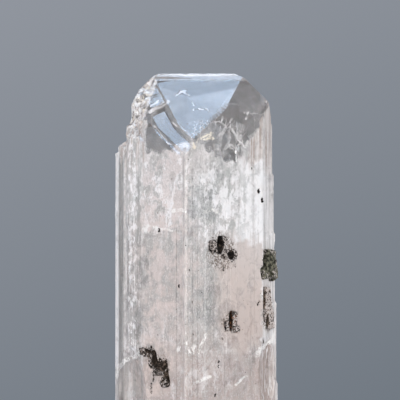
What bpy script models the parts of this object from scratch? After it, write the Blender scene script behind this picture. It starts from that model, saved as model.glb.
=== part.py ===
"""A danburite crystal, upright, cut off flat where it grew on its rock.

Danburite is orthorhombic. The crystal is built the way it grew: each individual is a block cut by crystal
faces, whose slopes follow from the axial ratio, and individuals that grew side by side are joined into one
solid. Chips, scars and the seats of the dark mineral grains are then taken out of it.

X runs along the crystal's b axis, to the right. Y runs back, against its a axis. Z runs up its c axis.
"""

import math
import random

import bmesh
import bpy
from mathutils import Matrix, Vector

MM = 0.001

# Axial ratio of danburite
A_AXIS = 0.5444
B_AXIS = 1.0
C_AXIS = 0.4807

# Driving sizes of the crystal
HEIGHT = 100 * MM
RIDGE_Y = 2.1 * MM
BEVEL_DEPTH = 1.5 * MM
BEVEL_DROP = 0.66 * MM
TIP_X = -0.77 * MM
TIP_Y = -15.85 * MM
BACK_X = -2.0 * MM
BACK_Y = 17.724 * MM
SHOULDER_RIGHT = 16.5 * MM
SHOULDER_LEFT = -14.5 * MM
SLIGHT_STEP = 0.03 * MM

SEAT_GAP = 0.3 * MM
BLOCK_SIZE = 400 * MM


def mm(x, y, z):
    """A point given in millimetres."""
    return Vector((x, y, z)) * MM


def face_normal(h, k, l):
    """The outward normal of the crystal face with these Miller indices."""
    return Vector((k / B_AXIS, -h / A_AXIS, l / C_AXIS)).normalized()


def new_object(name, mesh, collection):
    made = bpy.data.objects.new(name, mesh)
    collection.objects.link(made)
    return made


def principled(name, colour, roughness, transmission=0.0, ior=1.5):
    material = bpy.data.materials.new(name)
    material.use_nodes = True
    shader = material.node_tree.nodes["Principled BSDF"]
    shader.inputs["Base Color"].default_value = (*colour, 1.0)
    shader.inputs["Roughness"].default_value = roughness
    shader.inputs["Metallic"].default_value = 0.0
    shader.inputs["Transmission Weight"].default_value = transmission
    shader.inputs["IOR"].default_value = ior
    return material


def grow(faces):
    """A block bounded by crystal faces, each given as its indices and a point that it passes through."""
    bm = bmesh.new()
    bmesh.ops.create_cube(bm, size=BLOCK_SIZE)
    for indices, point in faces:
        everything = bm.verts[:] + bm.edges[:] + bm.faces[:]
        cut = bmesh.ops.bisect_plane(
            bm, geom=everything, plane_co=point, plane_no=face_normal(*indices), clear_outer=True
        )
        rim = [item for item in cut["geom_cut"] if isinstance(item, bmesh.types.BMEdge)]
        if rim:
            bmesh.ops.contextual_create(bm, geom=rim)
    bmesh.ops.recalc_face_normals(bm, faces=bm.faces[:])
    mesh = bpy.data.meshes.new("block")
    bm.to_mesh(mesh)
    bm.free()
    return mesh


def boolean(target, other, operation):
    """Joins the other object to the target, or cuts it away, and leaves the result in the target's mesh."""
    modifier = target.modifiers.new(operation.lower(), "BOOLEAN")
    modifier.operation = operation
    modifier.solver = "EXACT"
    modifier.object = other
    graph = bpy.context.evaluated_depsgraph_get()
    result = bpy.data.meshes.new_from_object(target.evaluated_get(graph))
    target.modifiers.clear()
    target.data = result


def drop_crumbs(target):
    """Deletes the crumbs that cuts leave loose, so that the largest body stays alone."""
    bm = bmesh.new()
    bm.from_mesh(target.data)
    bodies = []
    left = set(bm.verts)
    while left:
        front = [left.pop()]
        body = set(front)
        while front:
            vert = front.pop()
            near = {edge.other_vert(vert) for edge in vert.link_edges} & left
            left -= near
            body |= near
            front += near
        bodies.append(body)
    bodies.sort(key=len)
    crumbs = [vert for body in bodies[:-1] for vert in body]
    bmesh.ops.delete(bm, geom=crumbs, context="VERTS")
    bm.to_mesh(target.data)
    bm.free()
    return len(bodies) - 1


# The individuals that grew together

def base_cut():
    """The flat cut at the foot, on which the crystal stands."""
    return ((0, 0, -1), mm(0, 0, 0))


def inside_back(inset):
    """A face that closes a block inside the main one, this far in from the right back face."""
    return ((-1, 1, 0), Vector((BACK_X, BACK_Y, 0)) - face_normal(-1, 1, 0) * inset * MM)


def main_individual():
    """The tallest block: it carries the ridge, the front dome and the clear face right of the dome."""
    tip = Vector((TIP_X, TIP_Y, 0))
    bevel_foot = Vector((0, RIDGE_Y - BEVEL_DEPTH, HEIGHT - BEVEL_DROP))
    ridge = Vector((0, RIDGE_Y, HEIGHT))
    back_edge = Vector((BACK_X, BACK_Y, 0))
    return [
        ((1, 2, 0), tip),
        ((1, -2, 0), tip),
        ((1, 4, 0), mm(14.08, 0.32, 0)),
        ((1, -4, 0), mm(-11.0, -8.3, 0)),
        ((0, 1, 0), Vector((SHOULDER_RIGHT, 0, 0))),
        ((0, -1, 0), Vector((SHOULDER_LEFT, 0, 0))),
        ((-1, 1, 0), back_edge),
        ((-1, -2, 0), back_edge),
        ((1, 0, 1), bevel_foot),
        ((1, 0, 2), ridge),
        ((-1, 0, 1), ridge),
        ((0, 1, 1), mm(8.2, 0, 100)),
        ((0, 2, 1), mm(9.44, 0, 100)),
        ((0, 4, 1), mm(16.0, 0, 93.5)),
        ((0, -2, 1), mm(-9.1, 0, 100)),
        ((0, -4, 1), mm(-14.0, 0, 94.2)),
        ((2, 4, 1), Vector((TIP_X, TIP_Y, 91.2 * MM))),
        ((2, -4, 1), Vector((TIP_X, TIP_Y, 87.5 * MM))),
        ((-2, 4, 1), mm(12.0, 9.6, 92.0)),
        ((-2, -4, 1), mm(-8.0, 10.6, 92.5)),
        base_cut(),
    ]


def corner_individual():
    """The small block in the upper left corner, whose dome lies a step under the main one."""
    return [
        ((1, 0, 1), mm(0, 0.6, 98.9)),
        ((2, 1, 1), mm(-8.4, -6.6, 92.5)),
        ((1, -2, 0), mm(-2.6, -17.2, 0)),
        ((1, -4, 0), mm(-11.0, -8.5, 0)),
        ((1, 2, 0), mm(-4.0, -9.0, 0)),
        ((0, -1, 0), mm(-14.3, 0, 0)),
        ((0, -2, 1), mm(-9.3, 0, 99.7)),
        ((0, -4, 1), mm(-13.9, 0, 94.0)),
        ((-1, 0, 1), mm(0, 1.2, 99.5)),
        ((2, -4, 1), mm(-2.6, -17.2, 88.6)),
        ((-1, -2, 0), mm(-2.0, 16.4, 0)),
        inside_back(2.0),
        base_cut(),
    ]


def left_individual():
    """The block left of the main one: its dome is the second blue facet, and it has the left front face."""
    return [
        ((1, 0, 1), mm(0, 0.6, 97.9)),
        ((1, -2, 0), mm(-2.55, -17.4, 0)),
        ((1, 2, 0), Vector((TIP_X, TIP_Y + SLIGHT_STEP, 0))),
        ((0, 1, 0), mm(5.0, 0, 0)),
        ((1, -4, 0), mm(-11.1, -8.4, 0)),
        ((2, -4, 1), mm(-2.55, -17.4, 87.5)),
        ((0, -1, 0), mm(-14.0, 0, 0)),
        ((0, -2, 1), mm(-9.0, 0, 99.4)),
        ((0, -4, 1), mm(-13.7, 0, 93.6)),
        ((-1, 0, 1), mm(0, -0.6, 98.5)),
        ((-1, -2, 0), mm(-2.0, 15.9, 0)),
        inside_back(2.6),
        base_cut(),
    ]


def left_skin():
    """A thin growth layer over the left front face, which ends just under the second dome."""
    return [
        ((1, 0, 1), mm(0, 0.6, 97.0)),
        ((1, -2, 0), mm(-2.75, -17.95, 0)),
        ((1, 2, 0), Vector((TIP_X, TIP_Y + 2 * SLIGHT_STEP, 0))),
        ((0, 1, 0), mm(4.0, 0, 0)),
        ((1, -4, 0), mm(-11.22, -8.78, 0)),
        ((2, -4, 1), mm(-2.75, -17.95, 86.2)),
        ((0, -1, 0), mm(-14.9, 0, 0)),
        ((0, -4, 1), mm(-14.2, 0, 90.5)),
        ((-1, 0, 1), mm(0, -4.0, 96.0)),
        ((-1, -2, 0), mm(-2.0, 15.5, 0)),
        inside_back(3.2),
        base_cut(),
    ]


def side_individual(reach, front_x, front_y, back_y, top, lip):
    """A parallel crystal on the left flank, shorter than the main one."""
    return [
        ((1, -2, 0), mm(front_x, front_y, 0)),
        ((1, -4, 0), mm(front_x, front_y, 0)),
        ((0, -1, 0), mm(reach, 0, 0)),
        ((-1, -1, 0), mm(reach, back_y, 0)),
        ((0, -1, 1), mm(-15.4, 0, top)),
        ((1, 0, 1), mm(0, -4.0, top)),
        ((2, -4, 1), mm(front_x, front_y, top - lip)),
        ((-1, 0, 1), mm(0, 3.6, top)),
        ((1, 2, 0), mm(-5.0, -9.0, 0)),
        inside_back(5.0 - 0.3 * lip),
        base_cut(),
    ]


SIDE_CRYSTALS = [
    # reach, front_x, front_y, back_y, top, lip
    (-18.04, -16.8, -2.0, 3.6, 83.5, 2.1),
    (-17.3, -16.1, -3.0, 4.6, 85.0, 2.6),
    (-15.5, -14.9, -4.9, 3.0, 88.4, 3.4),
    (-17.7, -16.6, -2.45, 5.2, 57.0, 1.5),
]


FLANK_START = 14.1
FLANK_ROOT = 10.0
FLANK_LIP = 0.8
FLANK_SLOPE = 1.4


def right_flank(reach, front_y, back_y, top):
    """One growth step of the striated right flank: it stands proud of the step above it and ends lower."""
    return [
        ((1, 3, 0), mm(FLANK_START, front_y, 0)),
        ((1, 2, 0), mm(FLANK_START, 0.45 + 0.1 * front_y, 0)),
        ((0, 1, 0), mm(reach, 0, 0)),
        ((-1, 1, 0), mm(reach, back_y, 0)),
        ((0, 1, 1), mm(reach, 0, top + FLANK_LIP)),
        ((0, 4, 1), mm(reach, 0, top)),
        ((2, 4, 1), mm(reach, 5.0, top - FLANK_SLOPE)),
        ((0, -1, 0), mm(FLANK_ROOT + front_y, 0, 0)),
        base_cut(),
    ]


RIGHT_FLANK_STEPS = [
    # reach, front_y, back_y, top
    (16.78, 1.6, 6.65, 88.6),
    (17.1, 1.2, 6.75, 77.4),
    (17.42, 0.8, 6.85, 64.3),
    (17.74, 0.4, 6.95, 48.9),
    (18.04, 0.1, 7.1, 31.0),
]


LAYER_ROOT = 1.2 * MM


def layer(face, through, thickness, first, last, bottom, top, slant):
    """A thin growth layer on an upright face, from x first to x last and from z bottom to z top.

    Its upper end is a steep lip. With a slant it also ends along the dome, as the face itself does.
    """
    h, k, _ = face
    out = face_normal(*face) * thickness * MM
    outside = through + out
    bounds = [
        (face, outside),
        ((-h, -k, 0), through - out.normalized() * LAYER_ROOT),
        ((0, -1, 0), mm(first, 0, 0)),
        ((0, 1, 0), mm(last, 0, 0)),
        ((2 * h, 2 * k, 1), Vector((outside.x, outside.y, top * MM))),
    ]
    if slant:
        middle_x = (first + slant * (last - first)) * MM
        fall = k * A_AXIS / (h * B_AXIS)
        middle_y = outside.y + (middle_x - outside.x) * fall
        bounds.append(((h, 0, 1), Vector((middle_x, middle_y, top * MM))))
    if bottom > 0:
        bounds.append(((h, k, -1), Vector((outside.x, outside.y, bottom * MM))))
    else:
        bounds.append(base_cut())
    return bounds


def front_layers():
    """The ledges and broad ribs of the two front faces, which the photo shows."""
    right = (1, 2, 0)
    right_edge = Vector((TIP_X, TIP_Y, 0))
    left = (1, -2, 0)
    left_edge = mm(-2.75, -17.95, 0)
    rows = [
        # face, edge, thickness, first x, last x, bottom, top, slant
        (right, right_edge, 0.12, -0.9, 3.1, 0, 80.4, 0.5),
        (right, right_edge, 0.19, 2.9, 8.9, 0, 83.2, 0.3),
        (right, right_edge, 0.3, 8.6, 13.1, 63.0, 86.4, 0.45),
        (right, right_edge, 0.16, 12.7, 14.6, 0, 90.0, 0.0),
        (right, right_edge, 0.26, 0.2, 1.7, 0, 69.2, 0.7),
        (right, right_edge, 0.33, 3.7, 6.4, 38.0, 69.6, 0.4),
        (right, right_edge, 0.29, 6.1, 7.3, 0, 57.5, 0.0),
        (right, right_edge, 0.1, 8.3, 12.9, 0, 61.8, 0.0),
        (right, right_edge, 0.21, 10.2, 11.1, 0, 40.2, 0.5),
        (right, right_edge, 0.24, 11.9, 12.5, 22.0, 55.6, 0.5),
        (left, left_edge, 0.11, -10.7, -8.4, 0, 81.2, 0.4),
        (left, left_edge, 0.2, -8.8, -4.4, 0, 66.3, 0.0),
        (left, left_edge, 0.09, -4.6, -3.3, 0, 76.0, 0.6),
        (left, left_edge, 0.27, -7.0, -6.2, 0, 47.8, 0.5),
        (left, left_edge, 0.17, -10.2, -9.5, 42.0, 71.0, 0.5),
    ]
    return [layer(*row) for row in rows]


# The back isn't in the photo, so its layers are drawn by lot within these bounds, in millimetres
BACK_SEED = 41
BACK_WIDTHS = (0.7, 3.6)
BACK_THICKNESSES = (0.08, 0.34)
BACK_TOPS = (38.0, 84.0)
BACK_GAPS = (-0.3, 0.7)
BACK_SLANTS = (0.0, 0.35, 0.6)
WHOLE_SHARE = 0.7
LOWEST_FOOT = 8.0
SHORTEST_LAYER = 16.0
NARROWEST_END = 1.0
BACK_FACES = [
    # face, first x, last x
    ((-1, -2, 0), -13.0, -2.2),
    ((-1, 1, 0), -1.8, 14.8),
]


def back_layers():
    """The ribs and ledges of the two back faces, in a loose order."""
    pick = random.Random(BACK_SEED)
    edge = Vector((BACK_X, BACK_Y, 0))
    made = []
    for face, start, stop in BACK_FACES:
        x = start
        while x < stop - NARROWEST_END:
            width = pick.uniform(*BACK_WIDTHS)
            thickness = pick.uniform(*BACK_THICKNESSES)
            top = pick.uniform(*BACK_TOPS)
            whole = pick.random() < WHOLE_SHARE
            bottom = 0 if whole else pick.uniform(LOWEST_FOOT, top - SHORTEST_LAYER)
            slant = pick.choice(BACK_SLANTS)
            made.append(layer(face, edge, thickness, x, min(x + width, stop), bottom, top, slant))
            x += width + pick.uniform(*BACK_GAPS)
    return made


def back_individual():
    """A parallel crystal on the back, half as tall as the main one."""
    return [
        ((-1, 2, 0), mm(8.6, 14.7, 0)),
        ((-1, 1, 0), mm(4.2, 16.9, 0)),
        ((-1, -2, 0), mm(1.9, 16.5, 0)),
        ((1, 0, 0), mm(0, 6.0, 0)),
        ((0, 2, 1), mm(6.0, 0, 56.0)),
        ((-1, 0, 1), mm(0, 13.0, 56.6)),
        ((-2, 4, 1), mm(8.6, 14.7, 53.0)),
        ((0, -2, 1), mm(2.2, 0, 57.0)),
        base_cut(),
    ]


# What has broken away

def as_cutter(made):
    """Marks an object as a cutter, which isn't part of the crystal."""
    made.hide_render = True
    made.display_type = "WIRE"


def helper(name, mesh, collection):
    """A new cutter."""
    made = new_object(name, mesh, collection)
    as_cutter(made)
    return made


# A cap of this sag on a footprint of radius 1 belongs to a ball of this radius
CAP_SAG = 0.45
CAP_RADIUS = (1 + CAP_SAG**2) / (2 * CAP_SAG)
LARGE_BREAK = 2.5
RIPPLES = 4
RIPPLE_RATES = (4, 9)
RIPPLE_HEIGHT = 0.012
BREAK_SEED = 100


def hollow(name, anchor, facing, half_width, half_height, depth, collection, seed):
    """A lumpy ball whose low cap takes out the curved hollow of a conchoidal break."""
    pick = random.Random(seed)
    bm = bmesh.new()
    fineness = 3 if half_height > LARGE_BREAK else 2
    bmesh.ops.create_icosphere(bm, subdivisions=fineness, radius=CAP_RADIUS)
    waves = [
        (Vector([pick.uniform(-1, 1) for _ in range(3)]).normalized(), pick.uniform(*RIPPLE_RATES))
        for _ in range(RIPPLES)
    ]
    for vert in bm.verts:
        lump = sum(math.sin(vert.co.dot(direction) * rate) for direction, rate in waves)
        vert.co *= 1 + RIPPLE_HEIGHT * lump
    bmesh.ops.translate(bm, verts=bm.verts[:], vec=(0, 0, CAP_RADIUS - CAP_SAG))
    bmesh.ops.scale(bm, verts=bm.verts[:], vec=Vector((half_width, half_height, depth / CAP_SAG)) * MM)
    out = Vector(facing).normalized()
    across = Vector((0, 0, 1)).cross(out).normalized()
    up = out.cross(across)
    frame = Matrix((across, up, out)).transposed().to_4x4()
    frame.translation = mm(*anchor)
    bmesh.ops.transform(bm, verts=bm.verts[:], matrix=frame)
    mesh = bpy.data.meshes.new(name)
    bm.to_mesh(mesh)
    bm.free()
    return helper(name, mesh, collection)


BREAKS = [
    # name, anchor, facing, half width, half height, depth
    ("corner_chip_high", (-10.7, -0.3, 98.0), (-0.75, -0.55, 0.6), 2.6, 3.4, 0.9),
    ("corner_chip_mid", (-12.9, -3.2, 95.0), (-0.7, -0.6, 0.35), 2.4, 3.2, 0.8),
    ("corner_chip_low", (-13.1, -5.6, 91.6), (-0.7, -0.65, 0.2), 1.8, 2.8, 0.6),
    ("corner_chip_back", (-12.0, 4.6, 96.4), (-0.7, 0.4, 0.6), 3.0, 3.2, 0.9),
    ("second_dome_foot", (-2.9, -17.5, 86.0), (0.0, -0.8, 0.6), 1.6, 1.4, 0.5),
    ("ridge_end_nick", (-9.3, 1.6, 99.6), (-0.5, -0.2, 0.85), 1.2, 1.0, 0.35),
    ("ledge_round", (-17.9, -1.0, 82.6), (-0.7, -0.3, 0.6), 1.5, 1.8, 0.5),
    ("left_nick_high", (-18.04, 0.9, 69.4), (-1.0, -0.2, 0.0), 0.9, 1.1, 0.28),
    ("right_nick_high", (17.2, 6.4, 74.6), (1.0, -0.1, 0.0), 0.8, 1.2, 0.3),
    ("right_nick_mid", (17.45, 6.5, 61.5), (1.0, -0.1, 0.0), 1.0, 1.8, 0.4),
    ("right_spall", (15.4, 2.6, 34.3), (0.85, -0.52, 0.0), 3.4, 7.4, 0.8),
    ("left_spall", (-14.6, -4.4, 31.2), (-0.736, -0.676, 0.0), 4.7, 8.6, 0.9),
    ("front_edge_nick", (-2.9, -17.7, 62.0), (-0.1, -1.0, 0.0), 0.9, 1.6, 0.25),
    ("back_edge_chip", (-2.0, 16.8, 70.0), (0.0, 1.0, 0.1), 1.5, 3.2, 0.5),
    ("back_shoulder_chip", (15.9, 6.6, 92.6), (0.75, 0.3, 0.6), 2.6, 2.2, 0.45),
    ("back_dome_scar", (-3.4, 11.0, 92.4), (-0.15, 0.66, 0.75), 3.4, 2.0, 0.22),
    ("base_chip_front", (-2.6, -17.4, 0.0), (0.0, -0.8, -0.6), 3.4, 2.2, 0.9),
    ("base_chip_left", (-18.0, 0.4, 0.0), (-0.85, 0.0, -0.5), 4.0, 2.0, 0.8),
    ("base_chip_right", (18.0, 6.6, 0.0), (0.85, 0.0, -0.5), 3.5, 2.0, 0.9),
    ("base_chip_back", (0.6, 17.0, 0.0), (0.0, 0.8, -0.6), 4.0, 2.4, 1.0),
    ("base_chip_back_left", (-11.0, 8.4, 0.0), (-0.7, 0.6, -0.5), 3.0, 2.0, 0.7),
    ("base_chip_front_right", (9.6, -4.6, 0.0), (0.7, -0.6, -0.5), 3.4, 1.6, 0.6),
]


# Dark mineral grains

# How the faces that carry grains are turned from the front, in degrees
RIGHT_FACE_TURN = math.degrees(math.atan2(2 / B_AXIS, 1 / A_AXIS))
LEFT_FACE_TURN = -RIGHT_FACE_TURN
FLANK_TURN = math.degrees(math.atan2(3 / B_AXIS, 1 / A_AXIS))


def right_face_point(x, z):
    """The point of the right front face at this x and z, in millimetres."""
    return (x, TIP_Y / MM + (x - TIP_X / MM) * 2 * A_AXIS / B_AXIS, z)


GRAINS = {
    # name: anchor on the face, turn of the face, thickness, blocks as (along, up, width, height)
    "dark_grain_upper": (
        right_face_point(5.6, 61.2),
        RIGHT_FACE_TURN,
        1.5,
        [
            (-0.8, 1.2, 2.0, 3.5),
            (2.8, -1.0, 2.0, 1.7),
            (-3.6, 1.1, 1.5, 1.8),
            (1.1, -0.7, 2.8, 1.3),
            (-2.3, 0.6, 2.6, 1.1),
        ],
    ),
    "dark_grain_right_edge": (
        (15.6, 3.2, 57.6),
        FLANK_TURN,
        2.0,
        [
            (0.5, 1.9, 4.0, 2.5),
            (0.2, 0.1, 4.9, 2.4),
            (-2.0, -1.6, 2.3, 2.3),
            (1.7, -2.0, 2.0, 2.6),
        ],
    ),
    "dark_grain_right_low": (
        (15.3, 2.6, 48.0),
        FLANK_TURN,
        1.7,
        [
            (-0.5, 3.2, 1.7, 2.5),
            (-0.3, 1.1, 2.6, 2.6),
            (0.2, -1.2, 2.9, 2.7),
            (0.9, -3.2, 2.0, 2.4),
        ],
    ),
    "dark_grain_centre_low": (
        right_face_point(7.3, 45.4),
        RIGHT_FACE_TURN,
        1.5,
        [
            (0.3, 1.1, 1.5, 2.6),
            (-0.4, -0.3, 2.8, 1.8),
            (1.1, -1.2, 1.9, 1.2),
        ],
    ),
    "dark_grain_left_low": (
        (-7.8, -12.5, 36.1),
        LEFT_FACE_TURN,
        1.4,
        [
            (0.1, 0.0, 4.2, 2.4),
            (-4.1, 3.1, 3.4, 1.0),
            (-2.2, 1.8, 1.8, 3.2),
            (2.0, -1.7, 1.2, 2.8),
            (1.8, -3.1, 1.7, 1.0),
        ],
    ),
}


GRAIN_ROUGHNESS = 0.06
GRAIN_BEVEL = 0.14
GRAIN_DEPTHS = (0.85, 1.1)
GRAIN_LEAN = 0.3
GRAIN_TWIST = 0.15


def clump(name, anchor, turn, thickness, blocks, spread, collection, seed):
    """Small blocky crystals joined into one patch. A spread makes the seat that the patch sits in."""
    pick = random.Random(seed)
    place = Matrix.Translation(mm(*anchor)) @ Matrix.Rotation(math.radians(turn), 4, "Z")
    joined = None
    for along, up, width, height in blocks:
        bm = bmesh.new()
        bmesh.ops.create_cube(bm, size=1.0)
        bmesh.ops.bevel(
            bm, geom=bm.edges[:], offset=GRAIN_BEVEL, segments=1, profile=0.5, affect="EDGES", material=-1
        )
        grown = thickness * pick.uniform(*GRAIN_DEPTHS)
        size = Vector((width + spread, grown + spread, height + spread)) * MM
        for vert in bm.verts:
            vert.co += Vector([pick.uniform(-1, 1) for _ in range(3)]) * GRAIN_ROUGHNESS
        bmesh.ops.scale(bm, verts=bm.verts[:], vec=size)
        lean = Matrix.Rotation(pick.uniform(-GRAIN_LEAN, GRAIN_LEAN), 4, "Y")
        twist = Matrix.Rotation(pick.uniform(-GRAIN_TWIST, GRAIN_TWIST), 4, "Z")
        shift = Matrix.Translation(mm(along, 0, up))
        bmesh.ops.transform(bm, verts=bm.verts[:], matrix=place @ shift @ lean @ twist)
        mesh = bpy.data.meshes.new(name)
        bm.to_mesh(mesh)
        bm.free()
        if joined is None:
            joined = new_object(name, mesh, collection)
            continue
        other = new_object("grain_block", mesh, collection)
        boolean(joined, other, "UNION")
        bpy.data.objects.remove(other)
    return joined


def build():
    for old in list(bpy.data.objects):
        bpy.data.objects.remove(old)
    parts = bpy.data.collections.new("danburite_crystal")
    cutters = bpy.data.collections.new("cutters")
    cutters.hide_render = True
    for collection in (parts, cutters):
        bpy.context.scene.collection.children.link(collection)

    crystal = new_object("danburite_crystal", grow(main_individual()), parts)
    grown = [corner_individual(), left_individual(), left_skin()]
    grown += [side_individual(*row) for row in SIDE_CRYSTALS]
    grown += [right_flank(*row) for row in RIGHT_FLANK_STEPS]
    grown += front_layers() + back_layers() + [back_individual()]
    for number, faces in enumerate(grown):
        block = helper(f"individual_{number:02d}", grow(faces), cutters)
        boolean(crystal, block, "UNION")

    for number, (name, *measures) in enumerate(BREAKS):
        boolean(crystal, hollow(name, *measures, cutters, seed=BREAK_SEED + number), "DIFFERENCE")

    dark = principled("dark_mineral", (0.035, 0.028, 0.02), 0.5)
    for seed, (name, measures) in enumerate(GRAINS.items()):
        seat = clump(name + "_seat", *measures, 2 * SEAT_GAP / MM, cutters, seed)
        as_cutter(seat)
        boolean(crystal, seat, "DIFFERENCE")
        grain = clump(name, *measures, 0.0, parts, seed)
        grain.data.materials.clear()
        grain.data.materials.append(dark)

    print("crumbs dropped", drop_crumbs(crystal))

    clear = principled("danburite", (0.9, 0.86, 0.84), 0.12, transmission=0.85, ior=1.63)
    crystal.data.materials.clear()
    crystal.data.materials.append(clear)
    corners = [crystal.matrix_world @ Vector(corner) for corner in crystal.bound_box]
    for axis in range(3):
        values = [corner[axis] / MM for corner in corners]
        print("XYZ"[axis], round(min(values), 3), round(max(values), 3))
    print("faces", len(crystal.data.polygons))


build()
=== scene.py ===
# %% [markdown]
# A danburite crystal, photographed upright against plain grey
# The solids come first, as a fixed frame: the crystal, and the five patches of dark mineral seated in it.
# Everything below dresses that frame. Sizes are in millimetres until they meet Blender, which wants metres.

# %% The frame
import math
import random
from functools import reduce

import bmesh
import bpy
from mathutils import Matrix, Vector, noise
from mathutils.bvhtree import BVHTree


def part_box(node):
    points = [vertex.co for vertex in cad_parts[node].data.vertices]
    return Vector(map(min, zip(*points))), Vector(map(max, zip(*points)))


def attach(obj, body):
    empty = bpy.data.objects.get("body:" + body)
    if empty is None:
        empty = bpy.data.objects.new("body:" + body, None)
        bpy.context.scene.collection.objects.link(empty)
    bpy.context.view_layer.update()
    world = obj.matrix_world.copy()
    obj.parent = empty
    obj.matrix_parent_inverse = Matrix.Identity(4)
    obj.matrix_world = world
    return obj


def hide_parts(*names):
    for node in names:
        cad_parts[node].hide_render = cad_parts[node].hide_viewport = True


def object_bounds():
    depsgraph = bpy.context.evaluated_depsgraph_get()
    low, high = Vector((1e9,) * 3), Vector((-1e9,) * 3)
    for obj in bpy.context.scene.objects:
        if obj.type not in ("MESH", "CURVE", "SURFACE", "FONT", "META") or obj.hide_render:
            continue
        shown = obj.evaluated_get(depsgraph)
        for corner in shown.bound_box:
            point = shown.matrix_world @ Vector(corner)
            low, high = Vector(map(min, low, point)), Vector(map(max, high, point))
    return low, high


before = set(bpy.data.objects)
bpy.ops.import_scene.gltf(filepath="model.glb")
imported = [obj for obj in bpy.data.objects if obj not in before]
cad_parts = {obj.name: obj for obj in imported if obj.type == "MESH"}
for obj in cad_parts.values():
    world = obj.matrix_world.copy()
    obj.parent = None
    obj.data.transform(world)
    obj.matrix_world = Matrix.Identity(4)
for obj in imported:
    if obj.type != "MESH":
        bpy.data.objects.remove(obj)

MM = 0.001
cad_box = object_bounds()
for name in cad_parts:
    low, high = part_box(name)
    print(name, [round(v / MM, 1) for v in low], [round(v / MM, 1) for v in high])

# %% [markdown]
# The camera looks level at the crystal, square on to the ridge at its top, through a long lens. The
# photograph is cut off above the crystal's foot, so the camera aims high up the crystal.

# %% Camera
PHOTO_SIZE = 400
CAMERA_DISTANCE = 420 * MM
VIEW_WIDTH = 88 * MM
VIEW_CENTRE = Vector((0.66, 0.0, 72.06)) * MM

camera_data = bpy.data.cameras.new("level_camera")
camera_data.lens = camera_data.sensor_width * CAMERA_DISTANCE / VIEW_WIDTH
camera_data.clip_start = 0.01
camera = bpy.data.objects.new("level_camera", camera_data)
bpy.context.scene.collection.objects.link(camera)
camera.location = VIEW_CENTRE - Vector((0, CAMERA_DISTANCE, 0))
camera.rotation_euler = (math.radians(90), 0, 0)
bpy.context.scene.camera = camera
print("lens", round(camera_data.lens, 1), "mm")

# %% [markdown]
# Shader maths reads best as maths. Wire holds one output of a node, and its operators add Math nodes.
# Recipe owns the node tree of one finish. Its node method adds any other kind of node: settings first, then
# sockets.

# %% A small language for materials
# A Mix node has sockets for numbers, vectors and colours. These are the numbers of those it uses for colours.
MIX_SHARE, MIX_FIRST, MIX_SECOND, MIX_RESULT = 0, 6, 7, 2


class Wire:
    """One output of a node, which can stand in a Python sum."""

    def __init__(self, recipe, socket):
        self.recipe = recipe
        self.socket = socket

    def maths(self, operation, *values):
        return self.recipe.node("ShaderNodeMath", {"operation": operation}, dict(enumerate(values)))

    def __add__(self, other):
        return self.maths("ADD", self, other)

    def __radd__(self, other):
        return self.maths("ADD", other, self)

    def __sub__(self, other):
        return self.maths("SUBTRACT", self, other)

    def __rsub__(self, other):
        return self.maths("SUBTRACT", other, self)

    def __mul__(self, other):
        return self.maths("MULTIPLY", self, other)

    def __rmul__(self, other):
        return self.maths("MULTIPLY", other, self)

    def __abs__(self):
        return self.maths("ABSOLUTE", self)

    def least(self, other):
        return self.maths("MINIMUM", self, other)

    def most(self, other):
        return self.maths("MAXIMUM", self, other)

    def ramp(self, low, high):
        """0 below low, 1 above high, and a smooth rise between them. With high under low it falls."""
        if low > high:
            return 1 - self.ramp(high, low)
        settings = {"interpolation_type": "SMOOTHSTEP", "clamp": True}
        return self.recipe.node("ShaderNodeMapRange", settings, {0: self, 1: low, 2: high})


class Recipe:
    """The node tree of one finish."""

    def __init__(self, tree):
        self.tree = tree
        tree.nodes.clear()

    def node(self, kind, settings=None, sockets=None, output=0):
        made = self.tree.nodes.new(kind)
        for key, value in (settings or {}).items():
            setattr(made, key, value)
        for key, value in (sockets or {}).items():
            if isinstance(value, Wire):
                self.tree.links.new(value.socket, made.inputs[key])
            else:
                made.inputs[key].default_value = value
        return Wire(self, made.outputs[output]) if made.outputs else made

    def vector(self, operation, *values, output=0):
        return self.node("ShaderNodeVectorMath", {"operation": operation}, dict(enumerate(values)), output)

    def split(self, vector):
        """The three parts of a vector."""
        parts = self.node("ShaderNodeSeparateXYZ", None, {0: vector}).socket.node.outputs
        return [Wire(self, part) for part in parts]

    def blend(self, share, first, second):
        """A colour that goes from the first to the second as share goes from 0 to 1."""
        settings = {"data_type": "RGBA", "clamp_factor": True}
        first, second = [c if isinstance(c, Wire) else (*c, 1.0) for c in (first, second)]
        sockets = {MIX_SHARE: share, MIX_FIRST: first, MIX_SECOND: second}
        return self.node("ShaderNodeMix", settings, sockets, MIX_RESULT)

    def grain(self, vector, scale, detail=2.0, roughness=0.5, distortion=0.0, stretch=None, output=0):
        """Noise, whose scale is in bumps per millimetre. A stretch multiplies the three axes."""
        if stretch:
            vector = self.vector("MULTIPLY", vector, stretch)
        sockets = {"Vector": vector, "Scale": scale, "Detail": detail}
        sockets |= {"Roughness": roughness, "Distortion": distortion}
        return self.node("ShaderNodeTexNoise", None, sockets, output)

    def bump(self, strength, depth, height):
        """A bend of the normal, for relief this many millimetres deep."""
        sockets = {"Strength": strength, "Distance": depth * MM, "Height": height}
        return self.node("ShaderNodeBump", None, sockets)

    def place(self):
        """The point being shaded, in millimetres, in the piece's own coordinates."""
        here = self.node("ShaderNodeTexCoord", output="Object")
        return self.vector("MULTIPLY", here, (1 / MM, 1 / MM, 1 / MM))


def finish(name):
    """A new material and the recipe that fills it."""
    material = bpy.data.materials.new(name)
    material.use_nodes = True
    return material, Recipe(material.node_tree)


def any_of(masks):
    """A mask that is 1 where any of these masks is 1."""
    return reduce(Wire.most, masks)


# %% [markdown]
# A grey studio sweep, lighter at the upper left, makes the background. It is painted on the world by
# direction, so that glass which looks through the crystal sees the same grey.

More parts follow.
